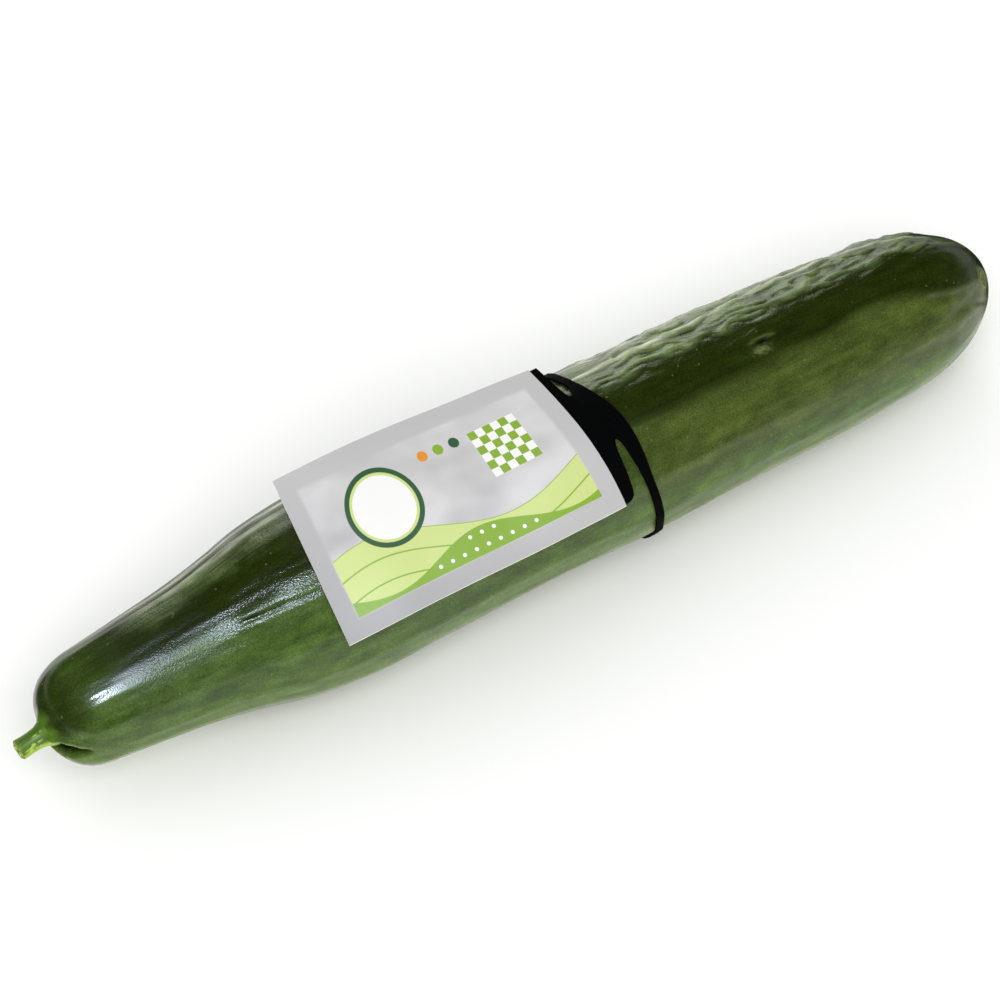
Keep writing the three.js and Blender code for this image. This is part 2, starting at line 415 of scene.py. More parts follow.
# The scar that the blossom leaves: a small dry dimple in a ring
def scarAt(x, turn, r, tones):
    scar = relief["scar"]
    scarX, scarDegree = scar["at"]
    middle = roundPoint(scarX, radians(scarDegree), fruitRadius(scarX))
    away = (roundPoint(x, turn, r) - middle).length
    away += 0.5 * noise.noise(Vector((turn * 2, x / 3, 0)))
    tones["scar"] += bell(away, scar["radius"])
    tones["light"] += 0.35 * bell(away - scar["rim"], 0.8)
    return 0.35 * bell(away - scar["rim"], 1.0) - 0.9 * bell(away, scar["radius"])


# The skin rises to the stem, and a crease starts below it, dark inside with painted shade, with a pale rim
# that is a painted highlight, and a lobe
def creaseAt(x, turn, r, tones):
    degree = turn * 180 / pi
    crease = relief["crease"]
    wave = 2 * noise.noise(Vector((r / 2, 6.1, 0)))
    below = smooth(crease["rim"], clamp(r, 5, 14)) - degree + wave
    reach = smooth(crease["reach"], clamp(r, 5, 14)) * (1 + 0.3 * noise.noise(Vector((turn * 6, r / 2, 4))))
    strength = smoothstep(r, 3.0, 5.0) * (1 - smoothstep(r, 11.5, 14))
    rough = 1 + 0.4 * noise.noise(Vector((x / 1.3, turn * r / 1.3, 2)))
    hollow = strength * smoothstep(below, -1, 3) * (1 - smoothstep(below, 0.6 * reach, 1.3 * reach))
    tones["paintedShade"] += 1.6 * hollow * rough
    tones["light"] += 0.9 * strength * bell(below + 2.2, 2.2) * rough
    neck = relief["neck"]
    rise = neck["height"] * (1 - smoothstep(fromStem(x, turn, r), *neck["span"]))
    lobe = 0.6 * smoothstep(r, 6, 10) * (1 - smoothstep(x, 8, 18)) * bell(below - 32, 16)
    return rise + lobe + strength * 0.5 * bell(below + 4, 4) - crease["depth"] * hollow * rough


# Where the painted shade on the upper side of the fruit ends, partly the fruit's own darker green: degrees of
# turn at places along it
shadeEdge = [(0, 2), (12, 6), (30, 10), (90, 9), (160, 6), (200, 7), (228, 7), (240, 9), (251, 13), (262, 9),
             (274, 1), (286, -8), (300, -10)]


# Where tones come in and go out. A name that ends in Degrees is a span of turn from the side that the label
# faces: upwards, or downwards for "belly", "pale" and "light". The rest are in mm along the fruit, but "young"
# is in mm from the stem's middle line
toneSpans = {
    "backDegrees": (95, 165),
    "full": (10, 30),
    "nearStem": (4, 15),
    "nearStemDegrees": (-34, -14),
    "bellyDegrees": (150, 180),
    "paleDegrees": (40, 70),
    "paleEndDegrees": (120, 178),
    "warm": (150, 185),
    "warmTip": (262, 290),
    "warmDegrees": (-52, -34),
    "warmEndDegrees": (90, 150),
    "lightDegrees": (66, 82),
    "lightEndDegrees": (100, 130),
    "young": (3.2, 7.0),
    "grain": (20, 30),
    "bloom": (15, 22),
    "bloomEnd": (42, 53),
    "bloomEndDegrees": (42, 58),
}


# How far the skin is shaded, pale, warm, light, young, grained or bloomy at a place, each 0 to 1. The shade is
# painted shade, partly the fruit's own darker green
def toneAt(x, turn, r, tones):
    degree = turn * 180 / pi

    def rise(value, name):
        return smoothstep(value, *toneSpans[name])

    # Painted shade: dark on the upper side, next to the stem and towards the underside
    edge = smooth(shadeEdge, x) + 5 * noise.noise(Vector((x / 20, 4.2, 0)))
    upper = smoothstep(degree, edge - 7, edge + 7) * (1 - 0.55 * rise(degree, "backDegrees"))
    upper *= 0.5 + 0.5 * rise(x, "full")
    nearStem = 0.8 * (1 - rise(x, "nearStem")) * rise(degree, "nearStemDegrees")
    tones["shade"] = max(upper, nearStem, 0.45 * rise(-degree, "bellyDegrees"))
    # Paler on the lower front: partly the belly's own paler green, partly painted light
    tones["pale"] = rise(-degree, "paleDegrees") * (1 - rise(-degree, "paleEndDegrees"))
    tones["warm"] = rise(x, "warm") * rise(degree + 14 * rise(x, "warmTip"), "warmDegrees")
    tones["warm"] *= 1 - rise(degree, "warmEndDegrees")
    # Painted sheen along the lower front
    tones["light"] += 0.3 * rise(-degree, "lightDegrees") * (1 - rise(-degree, "lightEndDegrees"))
    if x < 20:
        wavy = fromStem(x, turn, r) + 1.6 * noise.noise(Vector((turn * 3.6, 1.5, 0)))
        tones["young"] = 1 - rise(wavy, "young")
    tones["grain"] = 0.3 + 0.7 * rise(x, "grain")
    tones["bloom"] = rise(x, "bloom") * (1 - 0.9 * rise(x, "bloomEnd"))
    tones["bloom"] *= 1 - rise(degree, "bloomEndDegrees")


# Height of the skin above the smooth body, and its tones
def skinAt(x, turn):
    r = fruitRadius(x)
    c, s = cos(turn), sin(turn)
    degree = turn * 180 / pi
    tones = dict.fromkeys((*skin["layers"], *skin["marks"], *skin["finish"]), 0.0)
    toneAt(x, turn, r, tones)
    ends = smoothstep(x, 1, 16) * (1 - smoothstep(x, 280, 298))
    sway = relief["ribSway"] * noise.noise(Vector((x / 45, 2.7, 0)))
    ribs = 0.0
    for place, rise in relief["ribs"]:
        gap = (degree - place - sway + 180) % 360 - 180
        if abs(gap) < 3 * relief["ribWidth"]:
            uneven = 0.7 + 0.8 * noise.noise(Vector((x / 33, place, 0)))
            ribs += rise * bell(gap, relief["ribWidth"]) * uneven
    width = relief["lineWidth"]
    lines = relief["line"] * noise.noise(Vector((x / 40, c * r / width, s * r / width)))
    width = relief["lumpWidth"]
    lumps = relief["lump"] * noise.noise(Vector((x / (2.2 * width), c * r / width, s * r / width + 7)))
    height = (ribs + lines + lumps + foldAt(x, turn, r, tones)) * ends
    height += strokesAt(x, degree, r, tones)
    if 205 < x < 235:
        height += pitAt(x, degree, r, tones)
    if x > 280:
        height += scarAt(x, turn, r, tones)
    if x < 20:
        height += creaseAt(x, turn, r, tones)
    return height, tones


# Places of the rings: close at both ends, where the skin turns in, and even between
def ringPlaces():
    shoulder, tip, length = fruit["shoulder"], fruit["tip"], fruit["length"]
    startRings, bodyRings, endRings = fruit["rings"]
    places = [shoulder * (1 - cos(pi / 2 * i / startRings)) for i in range(startRings)]
    places += [shoulder + (length - tip - shoulder) * i / bodyRings for i in range(bodyRings)]
    places += [length - tip * (1 - sin(pi / 2 * i / endRings)) for i in range(endRings + 1)]
    return places


def makeFruit():
    bm = bmesh.new()
    length = fruit["length"]
    probe, nearEnd = 0.05, 0.01  # mm to either side that the slope is measured over, and kept off the ends
    profile = [bm.verts.new((x, 0, fruitRadius(x) if 0 < x < length else 0)) for x in ringPlaces()]
    edges = [bm.edges.new(pair) for pair in zip(profile, profile[1:])]
    bmesh.ops.spin(bm, geom=profile + edges, cent=(0, 0, 0), axis=(1, 0, 0), angle=2 * pi,
                   steps=fruit["turns"], use_merge=True)
    bmesh.ops.remove_doubles(bm, verts=bm.verts, dist=0.0001)
    bmesh.ops.recalc_face_normals(bm, faces=bm.faces)
    names = (*skin["layers"], *skin["marks"], *skin["finish"])
    for name in names:
        bm.verts.layers.float.new(name)
    layers = {name: bm.verts.layers.float[name] for name in names}
    for vert in bm.verts:
        x, r = vert.co.x, hypot(vert.co.y, vert.co.z)
        even = atan2(vert.co.y, vert.co.z)
        turn = even - fruit["gather"] * sin(even - fruit["gatherAt"])  # more of the mesh where the folds are
        turn = (turn + pi) % (2 * pi) - pi
        height, tones = skinAt(x, turn)
        after, before = min(x + probe, length - nearEnd), max(x - probe, nearEnd)
        slope = (fruitRadius(after) - fruitRadius(before)) / (2 * probe)
        outward = 1 / hypot(1, slope)
        vert.co = roundPoint(x - slope * outward * height, turn, max(r + outward * height, 0))
        vert.co.z = max(vert.co.z, 0)
        for name, value in tones.items():
            vert[layers[name]] = clamp(value)
    addPiece("cucumber", bm, "fruit", [makeSkin()])


skin = {
    "green": "#405523",
    "layers": {"pale": "#4c6521", "warm": "#424f1f", "shade": "#1e2904", "crestSheen": "#58683f"},
    # Of the marks, light is mostly painted highlight and sheen
    "marks": {"young": "#50741c", "scar": "#6f7a40", "line": "#bcc4aa", "light": "#87955a",
              # the darkest mark is painted shade in hollows, grooves, the slit and at the foot of each fold
              "paintedShade": "#060a02"},
    "finish": ("grain", "bloom"),
    "mottles": {  # scale per metre along and around, detail, darkest, palest
        "streak": {"scale": (14, 420, 420), "detail": 2, "range": (0.8, 1.22)},  # 2.5 mm wide and 70 mm long
        "clump": {"scale": (150, 260, 260), "detail": 3, "range": (0.76, 1.28)},  # 4 to 7 mm
        "fleck": {"scale": (2000, 2300, 2300), "detail": 1, "range": (0.76, 1.28)},  # about 0.5 mm
    },
    "noiseSpan": (0.3, 0.7),  # where nearly all of a noise's values lie
    "raggedness": 0.5,
    "speckle": "#8f9d5c",
    "speckleScale": 420,
    "speckleFrom": 0.66,  # only cells whose random value is above this have a speckle
    "speckleEdge": (0.16, 0.05),
    "speckleMost": 0.3,
    "roughness": (0.16, 0.21),
    "bloomRoughness": 0.12,
    "ior": 1.4,
    "grainScale": 2200,  # 0.45 mm, about the finest that shows
    "grainStrength": 0.36,
    "grainHeight": 0.0003,
}


# Cucumber skin: smooth and waxy, duller where a dusty bloom lies on it; the dark green is streaked along the
# fruit, paler on the belly, and mottled where the skin is oldest. Light and shade are painted into its colour
# too: painted shade on the upper side, in hollows and under folds, painted light on the paler belly, and
# painted sheen, highlights and reflections on folds, rims and streaks
def makeSkin():
    material, tree, shader = newMaterial("waxed cucumber skin")
    place = addNode(tree, "TexCoord").outputs["Object"]
    low, high = skin["noiseSpan"]
    noises = {}
    for name, mottle in skin["mottles"].items():
        at = addNode(tree, "Mapping", {"Vector": place, "Scale": mottle["scale"]}).outputs[0]
        texture = addNode(tree, "TexNoise", {"Vector": at, "Scale": 1, "Detail": mottle["detail"]})
        noises[name] = texture.outputs[0]

    # A layer's edge is ragged: the noise shifts its share, but adds nothing where there is no layer
    ragged = addNode(tree, "Math", {0: noises["clump"], 1: skin["raggedness"], 2: -skin["raggedness"] / 2},
                     operation="MULTIPLY_ADD").outputs[0]
    colour = linear(skin["green"])
    for name, hexColour in skin["layers"].items():
        share = addNode(tree, "Attribute", attribute_name=name).outputs["Fac"]
        shifted = addNode(tree, "Math", {0: share, 1: ragged}, operation="ADD", use_clamp=True).outputs[0]
        present = addNode(tree, "MapRange", {"Value": share, "From Max": 0.2}).outputs[0]
        share = addNode(tree, "Math", {0: shifted, 1: present}, operation="MULTIPLY").outputs[0]
        colour = addNode(tree, "Mix", {0: share, 6: colour, 7: linear(hexColour)},
                         data_type="RGBA").outputs[2]
    for name, mottle in skin["mottles"].items():
        least, most = mottle["range"]
        tone = addNode(tree, "MapRange", {"Value": noises[name], "From Min": low, "From Max": high,
                                          "To Min": least, "To Max": most}).outputs[0]
        colour = addNode(tree, "Mix", {0: 1.0, 6: colour, 7: tone}, data_type="RGBA",
                         blend_type="MULTIPLY").outputs[2]

    # Small pale warts, one in the middle of some cells
    dots = addNode(tree, "TexVoronoi", {"Vector": place, "Scale": skin["speckleScale"]}, feature="F1")
    chosen = addNode(tree, "Math", {0: dots.outputs["Color"], 1: skin["speckleFrom"]},
                     operation="GREATER_THAN").outputs[0]
    outer, inner = skin["speckleEdge"]
    dot = addNode(tree, "MapRange", {"Value": dots.outputs["Distance"], "From Min": outer,
                                     "From Max": inner, "To Max": skin["speckleMost"]}).outputs[0]
    share = addNode(tree, "Math", {0: dot, 1: chosen}, operation="MULTIPLY").outputs[0]
    colour = addNode(tree, "Mix", {0: share, 6: colour, 7: linear(skin["speckle"])},
                     data_type="RGBA").outputs[2]
    for name, hexColour in skin["marks"].items():
        share = addNode(tree, "Attribute", attribute_name=name).outputs["Fac"]
        colour = addNode(tree, "Mix", {0: share, 6: colour, 7: linear(hexColour)},
                         data_type="RGBA").outputs[2]
    tree.links.new(colour, shader.inputs["Base Color"])

    glossLow, glossHigh = skin["roughness"]
    gloss = addNode(tree, "MapRange", {"Value": noises["clump"], "From Min": low, "From Max": high,
                                       "To Min": glossLow, "To Max": glossHigh}).outputs[0]
    bloom = addNode(tree, "Attribute", attribute_name="bloom").outputs["Fac"]
    rough = addNode(tree, "Math", {0: bloom, 1: skin["bloomRoughness"], 2: gloss},
                    operation="MULTIPLY_ADD").outputs[0]
    tree.links.new(rough, shader.inputs["Roughness"])
    shader.inputs["IOR"].default_value = skin["ior"]
    fine = addNode(tree, "TexNoise", {"Vector": place, "Scale": skin["grainScale"], "Detail": 2}).outputs[0]
    grain = addNode(tree, "Attribute", attribute_name="grain").outputs["Fac"]
    raised = addNode(tree, "Math", {0: fine, 1: grain}, operation="MULTIPLY").outputs[0]
    bump = addNode(tree, "Bump", {"Height": raised, "Strength": skin["grainStrength"],
                                  "Distance": skin["grainHeight"]})
    tree.links.new(bump.outputs[0], shader.inputs["Normal"])
    return material


# Label: a card bent over the fruit. It touches the fruit along one line, and its upper start corner stands
# free
label = {
    "start": 76.8,
    "end": 160.6,
    "endSlant": radians(5),
    "width": 47.2,
    "thickness": 0.3,
    "turn": (radians(-3), radians(26)),
    "contact": (-8.6, 3.8),
    "bend": (32.5, 117),
    "gap": 0.35,
    "overPad": 1.05,
    "cells": (126, 70),
}


# A point at `along` the card, 0 to 1, `across` it in mm, and `rise` above its underside
def labelPoint(along, across, rise, past=0.0):
    end = label["end"] - across * tan(label["endSlant"])
    x = label["start"] + along * (end - label["start"]) + past
    turn = label["turn"][0] + (label["turn"][1] - label["turn"][0]) * along
    reach = across - (label["contact"][0] + (label["contact"][1] - label["contact"][0]) * along)
    bend = min(label["bend"][1 if reach > 0 else 0] / max(along, 0.001) ** 2, 1e6)
    distance = fruitRadius(x) + label["gap"] + label["overPad"] * smoothstep(along, 0.6, 0.88)
    facing = turn + reach / bend
    out = (distance - bend) * cos(turn) + (bend + rise) * cos(facing)
    up = (distance - bend) * sin(turn) + (bend + rise) * sin(facing)
    return sectionPoint(x, out, up)


def makeLabel():
    bm = bmesh.new()
    bmesh.ops.create_grid(bm, x_segments=label["cells"][0], y_segments=label["cells"][1], size=0.5)
    layer = bm.loops.layers.uv.new("print")
    for face in bm.faces:
        for loop in face.loops:
            place = loop.vert.co
            loop[layer].uv = ((place.x + 0.5) * (label["end"] - label["start"]), place.y * label["width"])
    for vert in bm.verts:
        wave = 0.12 * noise.noise(Vector((vert.co.x * 5, vert.co.y * 3, 2)))
        vert.co = labelPoint(vert.co.x + 0.5, vert.co.y * label["width"], label["thickness"] + wave)
    front = len(bm.faces)
    bmesh.ops.solidify(bm, geom=bm.faces[:], thickness=label["thickness"])
    bm.faces.index_update()
    for face in bm.faces:
        face.material_index = 0 if face.index < front else 1
    piece = addPiece("card_label", bm, "label", [makePrint(), makeCardBack()])
    piece.data.set_sharp_from_angle(angle=radians(50))


ink = {
    "ground": "#b6b5b6",
    "field": "#cdcccd",
    "dusk": "#969596",
    "duskAlong": (0.7, 1),
    "duskSpan": (26, -26),
    "pale": "#c3d282",
    "leaf": "#82a827",
    "deep": "#2c5a33",
    "orange": "#dd8a1c",
    "white": "#e8e8e6",
    "edge": 0.07,
    "frame": (5.2, 78.6, 18.4),  # start, end and half width
    "farHill": (-6, 5, 13, 0.4),  # middle height, rise, wave length, phase
    "nearHill": (-14, 3.2, 8.5, 2.6),
    "furrows": 3.1,
    "furrowWidth": 0.2,
    "cloudScale": (0.045, 0.07, 1),
    "cloudSpan": (0.35, 0.65),
    "dotSpacing": 3.6,
    "dotSize": 0.55,
    "dotMargin": 0.9,
    "discs": [(25, 4.5, 11, "deep"), (25, 4.5, 9.6, "pale"), (25, 4.5, 8.8, "white"),
              (42, 12.5, 1.5, "orange"), (47, 12.5, 1.5, "leaf"), (52, 12.5, 1.5, "deep")],
    "square": (63.6, 6, 7.2),
    "check": 2.4,
}


# Coated card: smooth and half glossy, printed with hills, discs and a check in flat inks
def makePrint():
    material, tree, shader = newMaterial("coated printed card")
    uv = addNode(tree, "UVMap", uv_map="print").outputs[0]

    def printOn(under, distance, colour, within=None):
        mask = addNode(tree, "MapRange", {"Value": distance, "From Min": ink["edge"],
                                          "From Max": -ink["edge"]})
        share = mask.outputs[0]
        if within is not None:
            share = addNode(tree, "Math", {0: share, 1: within}, operation="MULTIPLY").outputs[0]
        mixed = addNode(tree, "Mix", {0: share, 6: under, 7: linear(colour)}, data_type="RGBA")
        return mixed.outputs[2], share

    def discAt(place, centre, radius):
        offset = addNode(tree, "VectorMath", {0: place, 1: (*centre, 0)}, operation="SUBTRACT").outputs[0]
        size = addNode(tree, "VectorMath", {0: offset}, operation="LENGTH").outputs["Value"]
        return addNode(tree, "Math", {0: size, 1: radius}, operation="SUBTRACT").outputs[0]

    def panelAt(place, centre, half):
        offset = addNode(tree, "VectorMath", {0: place, 1: (*centre, 0)}, operation="SUBTRACT").outputs[0]
        size = addNode(tree, "VectorMath", {0: offset}, operation="ABSOLUTE").outputs[0]
        over = addNode(tree, "VectorMath", {0: size, 1: (*half, 0)}, operation="SUBTRACT").outputs[0]
        sides = addNode(tree, "SeparateXYZ", {0: over})
        return addNode(tree, "Math", {0: sides.outputs[0], 1: sides.outputs[1]},
                       operation="MAXIMUM").outputs[0]

    def hillAt(place, base, height, length, phase):
        sides = addNode(tree, "SeparateXYZ", {0: place})
        angle = addNode(tree, "Math", {0: sides.outputs[0], 1: 1 / length, 2: phase},
                        operation="MULTIPLY_ADD").outputs[0]
        wave = addNode(tree, "Math", {0: angle}, operation="SINE").outputs[0]
        top = addNode(tree, "Math", {0: wave, 1: height, 2: base}, operation="MULTIPLY_ADD").outputs[0]
        return addNode(tree, "Math", {0: sides.outputs[1], 1: top}, operation="SUBTRACT").outputs[0]

    # Ground: plain at its edge, with soft light clouds inside the frame, and darker towards one corner
    low, high, side = ink["frame"]
    frameCentre, frameHalf = ((low + high) / 2, 0), ((high - low) / 2, side)
    field = panelAt(uv, frameCentre, frameHalf)
    cloudPlace = addNode(tree, "Mapping", {"Vector": uv, "Scale": ink["cloudScale"]}).outputs[0]
    cloud = addNode(tree, "TexNoise", {"Vector": cloudPlace, "Scale": 1, "Detail": 2}).outputs["Fac"]
    low, high = ink["cloudSpan"]
    cloudy = addNode(tree, "MapRange", {"Value": cloud, "From Min": low, "From Max": high}).outputs[0]
    fieldShare = addNode(tree, "MapRange", {"Value": field, "From Min": 0.5, "From Max": -0.5}).outputs[0]
    lighter = addNode(tree, "Math", {0: cloudy, 1: fieldShare}, operation="MULTIPLY").outputs[0]
    toCorner = addNode(tree, "VectorMath", {0: uv, 1: (*ink["duskAlong"], 0)},
                       operation="DOT_PRODUCT").outputs[1]
    low, high = ink["duskSpan"]
    dusk = addNode(tree, "MapRange", {"Value": toCorner, "From Min": low, "From Max": high}).outputs[0]
    ground = addNode(tree, "Mix", {0: dusk, 6: linear(ink["ground"]), 7: linear(ink["dusk"])},
                     data_type="RGBA").outputs[2]
    colour = addNode(tree, "Mix", {0: lighter, 6: ground, 7: linear(ink["field"])},
                     data_type="RGBA").outputs[2]

    # Hills: a pale one with furrows, and a nearer one with dots that keep clear of its edge
    inField = addNode(tree, "MapRange", {"Value": field, "From Min": 0, "From Max": -0.1}).outputs[0]
    farHill = hillAt(uv, *ink["farHill"])
    colour, pale = printOn(colour, farHill, ink["pale"], inField)
    furrow = addNode(tree, "Math", {0: farHill, 1: ink["furrows"]}, operation="PINGPONG").outputs[0]
    furrow = addNode(tree, "Math", {0: furrow, 1: ink["furrowWidth"]}, operation="SUBTRACT").outputs[0]
    colour = printOn(colour, furrow, ink["leaf"], pale)[0]
    colour = printOn(colour, hillAt(uv, *ink["nearHill"]), ink["leaf"], inField)[0]
    cell = addNode(tree, "VectorMath", {0: uv, 1: (ink["dotSpacing"],) * 3}, operation="WRAP").outputs[0]
    cellStart = addNode(tree, "VectorMath", {0: uv, 1: cell}, operation="SUBTRACT").outputs[0]
    cellCentre = addNode(tree, "VectorMath", {0: cellStart, 1: (ink["dotSpacing"] / 2,) * 3},
                         operation="ADD").outputs[0]
    depth = addNode(tree, "Math", {0: hillAt(cellCentre, *ink["nearHill"]),
                                   1: panelAt(cellCentre, frameCentre, frameHalf)},
                    operation="MAXIMUM").outputs[0]
    whole = addNode(tree, "Math", {0: depth, 1: -ink["dotMargin"]}, operation="LESS_THAN").outputs[0]
    dots = discAt(cell, (ink["dotSpacing"] / 2,) * 2, ink["dotSize"])
    colour = printOn(colour, dots, ink["white"], whole)[0]

    # Discs, and a square with a check
    for cx, cy, radius, name in ink["discs"]:
        colour = printOn(colour, discAt(uv, (cx, cy), radius), ink[name])[0]
    cx, cy, half = ink["square"]
    square = panelAt(uv, (cx, cy), (half, half))
    colour, plate = printOn(colour, square, ink["white"])
    corner = addNode(tree, "VectorMath", {0: uv, 1: (cx - half, cy - half, -0.1)},
                     operation="SUBTRACT").outputs[0]
    check = addNode(tree, "TexChecker", {"Vector": corner, "Scale": 1 / ink["check"]}).outputs["Fac"]
    checkShare = addNode(tree, "Math", {0: check, 1: plate}, operation="MULTIPLY").outputs[0]
    colour = addNode(tree, "Mix", {0: checkShare, 6: colour, 7: linear(ink["leaf"])},
                     data_type="RGBA").outputs[2]
    tree.links.new(colour, shader.inputs["Base Color"])
    shader.inputs["Roughness"].default_value = 0.42
    shader.inputs["IOR"].default_value = 1.5
    return material


# Uncoated card: the plain back and cut edges, slightly fibrous
def makeCardBack():
    material, tree, shader = newMaterial("plain card")
    place = addNode(tree, "TexCoord").outputs["Object"]
    fibre = addNode(tree, "TexNoise", {"Vector": place, "Scale": 900, "Detail": 3}).outputs["Fac"]
    colour = addNode(tree, "Mix", {0: fibre, 6: linear("#d8d6d0"), 7: linear("#ecebe6")}, data_type="RGBA")
    tree.links.new(colour.outputs[2], shader.inputs["Base Color"])
    shader.inputs["Roughness"].default_value = 0.85
    return material


# Band: one moulded sheet of elastic, cut out flat and wrapped. It has a ring, a pad under the card, and a web
# between them
band = {
    "gap": 0.35,
    "thickness": 0.7,
    "ring": 170.4,
    "lean": 4.5,
    "width": 2.3,
    "bulge": 2.4,
    "bulgeTurn": 14,
    "bulgeSpread": 48,
    "webLow": 4,
    "webHigh": 42,
    "fillet": 9,
    "padInset": 8,
    "padCorner": 2.6,
    "padEdge": [(-23.6, 3.4), (-17, 4.3), (-10, 5.1), (-5, 5.7), (-2, 5.6), (14, 3.1), (23.6, 2.4)],
    "seam": -166,
    "span": (152, 178),
    "cell": 1.0,
    "cellTurn": 2.5,
    "edge": 0.14,
}
turnToMm = radians(1) * fruitRadius(label["end"])


def ringLeft(degree):
    return band["ring"] - band["lean"] * sin(radians(degree)) - band["width"] / 2


def ringRight(degree):
    away = clamp((degree - band["bulgeTurn"]) / band["bulgeSpread"], -1, 1)
    return ringLeft(degree) + band["width"] + band["bulge"] * cos(away * pi / 2) ** 2


def padAcross(degree):
    return label["contact"][1] + (degree - label["turn"][1] * 180 / pi) * turnToMm


def padDegree(across):
    return label["turn"][1] * 180 / pi + (across - label["contact"][1]) / turnToMm


def padRight(degree):
    across = padAcross(degree)
    corner = band["padCorner"]
    toCorner = max(corner - label["width"] / 2 - across, 0)
    past = smooth(band["padEdge"], across) - corner + sqrt(max(corner**2 - toCorner**2, 0))
    return label["end"] - across * tan(label["endSlant"]) + past


def spread(low, high, step):
    count = max(1, ceil(abs(high - low) / step))
    return [low + (high - low) * i / count for i in range(count + 1)]


def bandOutline():
    half = label["width"] / 2
    seam, step = band["seam"], band["cellTurn"]
    top, bottom = band["webHigh"] + band["fillet"], band["webLow"] - band["fillet"]
    inner = label["end"] - band["padInset"]
    outline = [(ringRight(d), d) for d in spread(seam, seam + 360, step)]
    outline += [(ringLeft(d), d) for d in spread(seam + 360, top, step)]
    for w in spread(0.9, 0.1, 0.1):
        x = padRight(top) + w * (ringLeft(top) - padRight(top))
        outline.append((x, band["webHigh"] + band["fillet"] * abs(2 * w - 1) ** 2.5))
    outline += [(padRight(d), d) for d in spread(top, padDegree(half), step)]
    outline += [(inner, padDegree(half)), (inner, padDegree(-half))]
    outline += [(padRight(d), d) for d in spread(padDegree(-half), bottom, 1)]
    for w in spread(0.1, 0.9, 0.1):
        x = padRight(bottom) + w * (ringLeft(bottom) - padRight(bottom))
        outline.append((x, band["webLow"] - band["fillet"] * abs(2 * w - 1) ** 2.5))
    outline += [(ringLeft(d), d) for d in spread(bottom, seam, step)]
    return outline


# The pad lies against the card's underside, the ring against the skin, and the web runs from one to the other
def bandPoint(x, degree):
    turn = radians(degree)
    height = skinAt(x, turn)[0]
    onSkin = roundPoint(x, turn, fruitRadius(x) + height * 0.5 + band["gap"] * 0.6 + band["thickness"])
    across = padAcross(degree)
    half = label["width"] / 2 + 0.01
    if abs(across) > half:
        return onSkin
    end = label["end"] - across * tan(label["endSlant"])
    along = 1 + min(x - end, 0) / (label["end"] - label["start"])
    onCard = labelPoint(along, across, -band["gap"], max(x - end, 0))
    toRing = smoothstep(x, padRight(degree), ringLeft(degree))
    return onCard.lerp(onSkin, toRing)


def makeBand():
    bm = bmesh.new()
    flat = [bm.verts.new((x, degree, 0)) for x, degree in bandOutline()]
    bm.faces.new(flat)
    seam = band["seam"]
    cuts = [((x, 0, 0), (1, 0, 0)) for x in spread(*band["span"], band["cell"])]
    cuts += [((0, degree, 0), (0, 1, 0)) for degree in spread(seam, seam + 360, band["cellTurn"])[1:-1]]
    for place, normal in cuts:
        bmesh.ops.bisect_plane(bm, geom=bm.verts[:] + bm.edges[:] + bm.faces[:], dist=0.0001,
                               plane_co=place, plane_no=normal)
    for vert in bm.verts:
        vert.co = bandPoint(vert.co.x, vert.co.y)
    bmesh.ops.remove_doubles(bm, verts=bm.verts, dist=0.001)
    bmesh.ops.solidify(bm, geom=bm.faces[:], thickness=band["thickness"])
    rims = [edge for edge in bm.edges if edge.calc_face_angle(0) > radians(60)]
    bmesh.ops.bevel(bm, geom=rims, offset=band["edge"], affect="EDGES", segments=2, profile=0.5, material=-1,
                    clamp_overlap=True)
    addPiece("elastic_band_piece", bm, "elastic_band", [makeElastic()])


# Elastic: matt black moulded rubber with a fine grain, which mirrors next to nothing
def makeElastic():
    material, tree, shader = newMaterial("black moulded elastic")
    place = addNode(tree, "TexCoord").outputs["Object"]
    grain = addNode(tree, "TexNoise", {"Vector": place, "Scale": 1800, "Detail": 2}).outputs["Fac"]
    colour = addNode(tree, "Mix", {0: grain, 6: linear("#010101"), 7: linear("#040404")}, data_type="RGBA")
    tree.links.new(colour.outputs[2], shader.inputs["Base Color"])
    shader.inputs["Roughness"].default_value = 0.75
    shader.inputs["Specular IOR Level"].default_value = 0.04
    bump = addNode(tree, "Bump", {"Height": grain, "Strength": 0.2, "Distance": 0.0001})
    tree.links.new(bump.outputs[0], shader.inputs["Normal"])
    return material


# Stem: a ribbed stub, flared where it joins the fruit and cut off clean at its tip
stem = {
    "base": (1.2, -1.7, 25.6),
    "tip": (-9.0, -2.47, 24.76),
    "profile": [(0, 4.4), (1.0, 4.1), (1.9, 3.7), (2.8, 3.25), (4, 2.85), (6.5, 2.65), (9, 2.7),
                (10.2, 2.75)],
    "ribs": 5,
    "ribDepth": 0.2,
    "turns": 110,
    "rise": 0.25,
    "layers": ("rib", "under", "fibre", "cut", "spoke"),
    "groove": "#456414",
    "ribLitBelow": "#9bbd3c",
    "ribShadedAbove": "#54761a",
    "fibreColour": "#a9c24c",
    "flesh": "#6f8f2c",
    "pith": "#d9e080",
}


